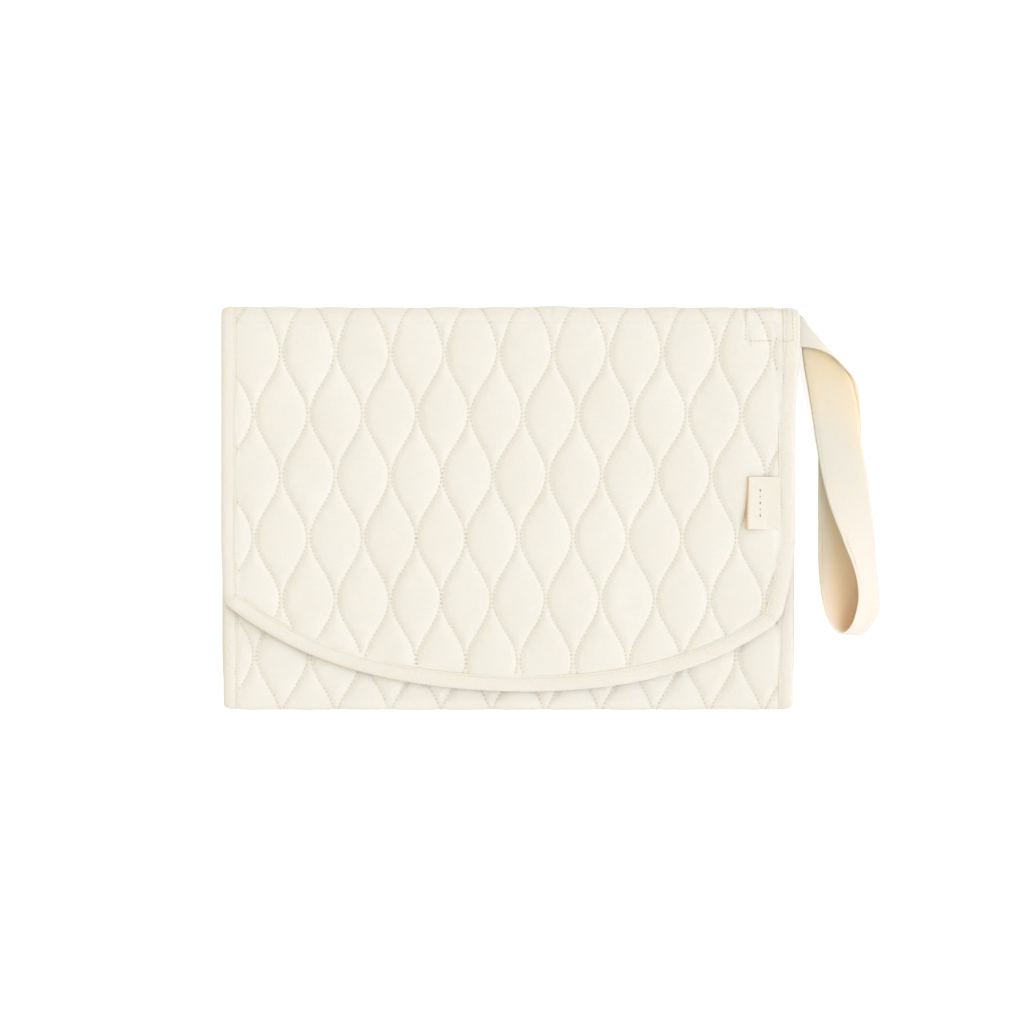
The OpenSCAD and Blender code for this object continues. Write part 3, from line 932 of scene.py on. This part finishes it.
def flap_edge(x, s):
    """How far inside the flap's bindings a place is."""
    share = np.clip((s - TOP_Y) / (CORNER_Y[1] - TOP_Y), 0, 1)
    right = flap_side(1, share)[..., 0] - LIP * WIDTHS[2]
    left = flap_side(-1, share)[..., 0] + LIP * WIDTHS[0]
    u = np.linspace(-0.96, 0.96, 200)
    inner = flap_end(u) + LIP * WIDTHS[1] * end_normal(u)
    low = np.interp(x, inner[:, 0], inner[:, 1])
    return np.minimum(np.minimum(x - left, right - x), s - low)


def edge_stitches(name, paths, how):
    """Topstitching along a binding, on its outer face and on its lining face."""
    pitch = 2.0 * MM
    places = []
    for points, ways in paths:
        line = points + STITCH_INSET * ways
        length = path_length(line)
        at = np.arange(pitch / 2, length[-1], pitch)
        here, ahead = ([np.interp(t, length, line[:, k]) for k in (0, 1)]
                       for t in (at, at + 0.1 * MM))
        for sign in (1, -1):
            drop = MID_DROP - sign * 1.9 * MM
            places.append((place(*here, drop), place(*ahead, drop),
                           place(*here, drop - sign * MM)))
    made = stitches(name, *join_stitches(places), pitch * 0.72, 0.2 * MM, lift=0.02 * MM)
    attach(made, how, "thread")


def all_stitches():
    quilt_stitches("flap_quilting_thread", flap_edge, -0.12, S_TOP, "flap")
    quilt_stitches("top_fold_quilting_thread", flap_edge, S_TOP, S_BACK, top_fold)
    quilt_stitches("back_quilting_thread", lambda x, s: HALF - LIP - np.abs(x), S_BACK, S_BOTTOM,
                   "back")
    quilt_stitches("front_quilting_thread",
                   lambda x, s: np.minimum(FRONT_HALF - LIP - np.abs(x), S_END - LIP - s),
                   S_BOTTOM, S_END, bottom_fold)
    edge_stitches("flap_binding_thread", [flap_path()], "flap")
    edge_stitches("top_fold_binding_thread", fold_paths(), top_fold)
    edge_stitches("front_binding_thread", [front_path()], bottom_fold)
    for side, name in SIDES:
        edge_stitches(f"back_binding_{name}_thread", [back_path(side)], "back")


# ------ wrist strap

STRAP_W, STRAP_T = 26 * MM, 1.4 * MM
# The strap's route: from one sewn end, round the diagonal fold, up and down the loop and back
# to the other sewn end. Each step is six numbers, x, y and z of its left or upper edge and then
# of its right or lower edge, in millimetres from the middle of the pad.
STRAP_ROUTE = np.reshape([
    (139, 112.5, 12.6, 139, 95.5, 13.2), (155, 112.8, 12.5, 155, 95.5, 13.2),
    (167, 114.6, 12.4, 167, 95.5, 13.2), (171, 116.4, 12.2, 171, 95.6, 13.2),
    (172.2, 116, 12.2, 180.3, 94.9, 13.2), (173.8, 114, 11.8, 189, 91.8, 13),
    (175, 111.2, 10.4, 196, 87, 12.2), (175, 108.6, 8, 200.9, 81.9, 9.6),
    (175, 102.6, 5.8, 203.9, 78.8, 6.8), (176.6, 97, 4.8, 205.6, 76.4, 5.4),
    (178.6, 87, 3.8, 207, 73, 4.2), (181.2, 74, 2.8, 208.4, 67, 3),
    (183, 58, 1.8, 209.2, 57, 1.9), (184, 36, 1.2, 210, 37, 1.3),
    (184, 5, 1.2, 210.4, 8, 1.2), (184, -19, 2.2, 210.4, -16, 1.2),
    (184.2, -36, 5.2, 210, -33, 1.2), (185.2, -51, 10.5, 209.4, -49, 1.2),
    (187.4, -63, 16, 208.8, -61.5, 1.2), (191.8, -71, 20.2, 207, -72.6, 1.2),
    (197.6, -73.8, 22, 210.2, -74.4, 1.2), (202.8, -68.4, 22.6, 215.4, -69.2, 1.2),
    (205.6, -58.5, 22.6, 220.2, -60.5, 1.2), (206.3, -49, 22.2, 220.4, -48.5, 1.4),
    (204.2, -35, 21, 219.4, -32.5, 1.8), (198.2, -19, 17.6, 217.6, -15.5, 2.4),
    (191, -1, 11.6, 215.4, 3, 3.2), (186.4, 17, 7.4, 212.9, 21, 4.6),
    (182.5, 39, 6.2, 209.4, 42, 5.8), (180, 56, 6.4, 207, 60.5, 6.4),
    (177.4, 72, 6.8, 204.4, 73, 6.8), (175, 86, 7.4, 202.4, 77.4, 7.4),
    (173.8, 97, 8, 200.9, 80, 8), (173.6, 105, 8.6, 199.8, 81.8, 8.8),
    (173.6, 110.5, 9.6, 198.4, 83.6, 9.9), (173, 113, 10.4, 194.6, 88, 10.9),
    (172, 114, 10.7, 187.6, 92.6, 11.4), (171.4, 114.2, 10.8, 179.4, 95.2, 11.6),
    (170.6, 113.8, 10.8, 170.6, 95.8, 11.6), (166, 112.4, 11, 166, 95.8, 11.6),
    (155, 111.4, 11.1, 155, 95.8, 11.6), (139, 111, 11.1, 139, 95.8, 11.6),
], (-1, 2, 3)) * MM
# The row where the strap starts back up, and how many points are put in for each row
RISING_ROW, ROW_STEPS = 23, 7
# How far in from the strap's edge its stitches are
STRAP_INSET = 2.4 * MM


def strap_body(made):
    """The strap, with its place baked into its mesh."""
    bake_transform(made)


def spline(rows, steps):
    """A smooth curve through the rows, with this many steps between each two."""
    padded = np.concatenate([rows[:1], rows, rows[-1:]])
    t = (np.arange(steps) / steps).reshape((-1,) + (1,) * (rows.ndim - 1))
    out = []
    for i in range(len(rows) - 1):
        a, b, c, d = padded[i : i + 4]
        out.append(0.5 * (2 * b + (c - a) * t + (2 * a - 5 * b + 4 * c - d) * t**2
                          + (3 * b - a - 3 * c + d) * t**3))
    out.append(rows[-1:])
    return np.concatenate(out)


def strap_lines():
    rows = spline(STRAP_ROUTE, ROW_STEPS)
    left, right = rows[:, 0], rows[:, 1]
    middle = (left + right) / 2
    across = unit(right - left)
    up = unit(np.cross(unit(np.gradient(middle, axis=0)), across))
    return left, right, across, up, path_length(middle)


def strap():
    left, right, _, up, length = strap_lines()
    length = length[:, None]
    share = np.linspace(0, 1, 25)
    width_at = share * STRAP_W
    # The two long edges are round, and a shallow groove follows a row of stitches
    round_off = 1 - np.clip(np.minimum(width_at, STRAP_W - width_at) / (0.9 * MM), 0, 1)
    thick = STRAP_T / 2 * np.sqrt(np.clip(1 - round_off**2, 0.02, 1))
    thick = thick - 0.22 * MM * bell((width_at - STRAP_INSET) / (0.7 * MM))
    wave = 0.45 * MM * SOFT(length * 1.1, width_at) * smooth(length / (40 * MM))
    at = left[:, None] + (right - left)[:, None] * share[:, None] + up[:, None] * wave[..., None]
    thick = up[:, None] * thick[:, None]
    rings = np.concatenate([at + thick, (at - thick)[:, ::-1]], axis=1)
    flat = np.stack(np.broadcast_arrays(width_at, length), -1)
    # Painted shade: the warm inside colour all over the loop's inner face but for its lit edge, and
    # in the fold's shade, for light bounced between the plies
    inner = 0.3 + 0.55 * smooth(flat[..., :1] / (10 * MM) - 0.2)
    rising = np.arange(len(length))[:, None, None] >= RISING_ROW * ROW_STEPS
    shade = smooth((at[..., 1:2] - 20 * MM) / (75 * MM)) * rising
    shade = np.clip(0.9 * shade * (1 + 0.8 * SOFT(flat[..., 1:], flat[..., :1])), 0, 1)
    flat = np.concatenate([np.concatenate([flat, inner], -1),
                           np.concatenate([flat, shade], -1)[:, ::-1]], axis=1)
    made = swept_rings("wrist_strap_band", [(rings, flat)], strap_cloth)
    attach(made, strap_body, "strap", "wrist_strap", "strap_root_fold", "strap_sewn_end")


def strap_stitches():
    left, _, across, up, length = strap_lines()
    pitch = 2.2 * MM
    at = np.arange(6 * MM, length[-1] - 6 * MM, pitch)

    def along(values, at):
        return np.stack([np.interp(at, length, values[:, k]) for k in range(3)], -1)

    line = left + across * STRAP_INSET
    spots, out = along(line, at), along(up, at)
    step = along(line, at + 0.1 * MM) - spots
    lift = STRAP_T / 2 - 0.2 * MM
    made = stitches("wrist_strap_thread", np.concatenate([spots + out * lift, spots - out * lift]),
                    np.concatenate([step] * 2), np.concatenate([out, -out]),
                    pitch * 0.7, 0.19 * MM)
    attach(made, strap_body, "thread")


def strap_box():
    """The box of stitches that goes through the flap round the strap's sewn end."""
    left, right, bottom, top = BOX_LOW.x, BOX_HIGH.x, BOX_LOW.y, S_TOP + 9 * MM
    pitch = 2.2 * MM
    runs = [((left, bottom), (right, bottom)), ((left, bottom), (left + 0.6 * MM, top)),
            ((right, bottom), (right - 0.5 * MM, top)), ((left, top), (right, top))]
    places = []
    for start, end in runs:
        start, whole = np.array(start), np.subtract(end, start)
        count = int(np.linalg.norm(whole) / pitch)
        x, s = (start + whole * ((np.arange(count) + 0.5) / count)[:, None]).T
        step = unit(whole) * 0.1 * MM
        on_binding = np.clip((x - (HALF - BIND_W)) / MM + 0.5, 0, 1)
        drop = PILLOW_H * (1 - crown(x, s)) * (1 - on_binding)
        drop = drop + on_binding * (MID_DROP - 2.3 * MM + strap_mark(x, s))
        places.append((place(x, s, drop - 0.12 * MM),
                       place(x + step[0], s + step[1], drop - 0.12 * MM),
                       place(x, s, drop - MM)))
    sewn = join_stitches(places)
    over = sewn[0][:, 1] > TOP_Y
    for name, some, how, nodes in (("strap_box_thread", ~over, "flap", ["strap_box_stitching"]),
                                   ("strap_box_top_thread", over, top_fold, [])):
        made = stitches(name, *(values[some] for values in sewn), pitch * 0.72, 0.26 * MM)
        attach(made, how, "thread", *nodes)


# ------ label and tapes

def label_height(t):
    """Height of the label's upper ply, from its fold at 0 to the binding at 1."""
    return (0.55 + 2.1 * (1 - np.asarray(t)) ** 1.4) * MM


def label():
    """A ribbon folded in two, its fold to the left standing a little off the flap."""
    low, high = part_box("woven_label")
    tall, thick = high.y - low.y, 0.35 * MM
    run = HALF - BIND_W * WIDTHS[2] + 1.5 * MM - low.x
    upper = np.linspace(0, 1, 22)
    lift_top = label_height(upper)
    turn = np.linspace(90, 270, 9)[1:-1] * math.pi / 180
    under = (1.0 - 0.9 * upper**2) * MM
    fold_mid, fold_r = (lift_top[0] + under[0]) / 2, (lift_top[0] - under[0]) / 2
    section = np.concatenate([
        np.stack([run * (1 - upper), lift_top[::-1]], -1),
        np.stack([0.6 * fold_r * np.cos(turn), fold_mid + fold_r * np.sin(turn)], -1),
        np.stack([run * upper, under], -1)])
    d = unit(np.gradient(section, axis=0))
    n = np.stack([-d[:, 1], d[:, 0]], -1) * thick / 2
    loop_x, loop_h = np.concatenate([section + n, (section - n)[::-1]]).T
    along = path_length(section)
    flat_u = np.concatenate([along, along[::-1]])
    # The lower ply reaches a little further left than the upper one
    lean = np.concatenate([0 * upper, (1 - np.sin(turn)) / 2, 1 - upper])
    lean = np.concatenate([lean, lean[::-1]])
    # Painted shade: the turn and the lower ply near the fold take the deep orange inside colour
    below = np.clip(lean * 2.5, 0, 1) * (flat_u > run)
    base = FLAP_TOP - 0.95 * MM
    off = 1 - np.linspace(0, 1, 25)[:, None]
    y = low.y + tall * (1 - off) + 0 * loop_x
    x = low.x - 0.6 * MM * off * (1 - loop_x / run) + loop_x - lean * 1.5 * MM * off**0.7
    z = base + loop_h * (1 + 0.3 * off * (loop_x < run / 2)) - sag(x, y)
    flat = np.stack(np.broadcast_arrays(flat_u, y, below), -1)
    made = swept_rings("woven_label_ribbon", [(np.stack([x, y, z], -1), flat)], label_cloth)
    attach(made, "flap", "label", "woven_label")
    marks(low, tall, base, run)


def marks(low, tall, base, run):
    """A row of small woven diamonds, as a plain pattern on the label."""
    points, faces = [], []
    x = low.x + 6.2 * MM
    for k in range(5):
        y = low.y + tall * (0.26 + 0.12 * k)
        z = base + label_height((x - low.x) / run) * (1 + 0.3 * (1 - (y - low.y) / tall))
        z = z + 0.2 * MM - sag(np.array(x), np.array(y))
        r = (1.0 if k % 2 == 0 else 0.6) * MM
        b = len(points)
        points += [(x - 0.55 * r, y, z), (x, y - r, z), (x + 0.55 * r, y, z), (x, y + r, z),
                   (x, y, z + 0.1 * MM), (x, y, z - 0.15 * MM)]
        for i, j in ((0, 1), (1, 2), (2, 3), (3, 0)):
            faces += [(b + i, b + j, b + 4), (b + j, b + i, b + 5)]
    attach(new_object("label_pattern", np.array(points, float), faces, mark_thread),
           "flap", "label")


def tape(name, replaced, body, material, up):
    """A strip of hook or loop tape with a raised, rough field inside a flat edge."""
    low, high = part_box(replaced)
    x, y = np.meshgrid(np.linspace(low.x, high.x, 121), np.linspace(low.y, high.y, 25))
    edge = np.minimum(np.minimum(x - low.x, high.x - x), np.minimum(y - low.y, high.y - y))
    pile = smooth((edge - 1.2 * MM) / MM) * (0.75 + 0.25 * np.abs(PUCKER(x * 2, y * 2)))
    face = (high.z - low.z) * (0.35 + 0.65 * np.clip(pile, 0, 1))
    near, far = (low.z, face) if up else (high.z - sag(x, y), -face)
    made = padded_solid(name, np.stack([x, y, near + far], -1),
                        np.stack([x, y, near + 0 * x], -1), material, x, y)
    if not up:
        made.data.flip_normals()
    attach(made, body, replaced, replaced)


# ------ floor, light and camera

def studio():
    floor_mesh = bpy.data.meshes.new("floor")
    corners = [(-6, -6, 0), (6, -6, 0), (6, 6, 0), (-6, 6, 0)]
    floor_mesh.from_pydata(corners, [], [(0, 1, 2, 3)])
    white = bpy.data.materials.new("floor_white")
    white.use_nodes = True
    tree = white.node_tree
    shader = fill(tree.nodes["Principled BSDF"], {
        "Base Color": (0.72, 0.72, 0.72, 1), "Roughness": 0.9, "Specular IOR Level": 0.1,
        "Emission Color": (1, 1, 1, 1), "Emission Strength": 0.66})
    # Cloth beside it is lit by a duller floor, as on a table
    dull = fill(node(tree, "ShaderNodeBsdfDiffuse"), {"Color": (0.91, 0.905, 0.89, 1)})
    seen = node(tree, "ShaderNodeLightPath")
    either = node(tree, "ShaderNodeMixShader")
    for out, into in ((seen.outputs["Is Camera Ray"], either.inputs["Fac"]),
                      (dull.outputs[0], either.inputs[1]), (shader.outputs[0], either.inputs[2]),
                      (either.outputs[0], tree.nodes["Material Output"].inputs["Surface"])):
        tree.links.new(out, into)
    floor_mesh.materials.append(white)
    put("floor", floor_mesh)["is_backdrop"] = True

    world = bpy.data.worlds.new("studio")
    world.use_nodes = True
    fill(world.node_tree.nodes["Background"], {"Color": (1, 0.965, 0.87, 1), "Strength": 0.92})
    bpy.context.scene.world = world

    sun = bpy.data.lights.new("key", "SUN")
    sun.energy, sun.color, sun.angle = 1.35, (0.70, 0.78, 1.0), math.radians(50)
    put("key", sun).rotation_euler = (math.radians(3), math.radians(40), 0)

    lens = bpy.data.cameras.new("camera")
    lens.lens, lens.sensor_width = 200, 36
    camera = put("camera", lens)
    camera.location = (2.1 * MM, -2.1 * MM, 3.382)
    bpy.context.scene.camera = camera
    bpy.context.scene.view_settings.view_transform = "Standard"


studio()
flap_cover()
straight_cover("back_quilt", HALF, S_BACK, S_BOTTOM, 221, False,
               "back", "back_outer_quilt", "back_wadding", "back_membrane")
straight_cover("front_quilt", FRONT_HALF, S_BOTTOM, S_END, 121, True,
               bottom_fold, "front_outer_quilt", "front_wadding", "front_membrane",
               "bottom_fold_outer_quilt", "bottom_fold_wadding", "bottom_fold_membrane")
bindings()
flap_lining()
straight_lining("back_lining_cloth", HALF, S_BACK, S_BOTTOM - LINING_GAP, 89,
                "back", "laid", "back_quilt", "back_lining")
straight_lining("front_lining_cloth", FRONT_HALF, S_FRONT + LINING_GAP, S_END - TUCK, 49,
                "front", "folded", "front_quilt", "front_lining", "bottom_fold_lining")
all_stitches()
strap()
strap_stitches()
strap_box()
label()
tape("hook_tape_pile", "hook_tape", "flap", hook_cloth, False)
tape("loop_tape_pile", "loop_tape", "front", loop_cloth, True)

low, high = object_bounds()
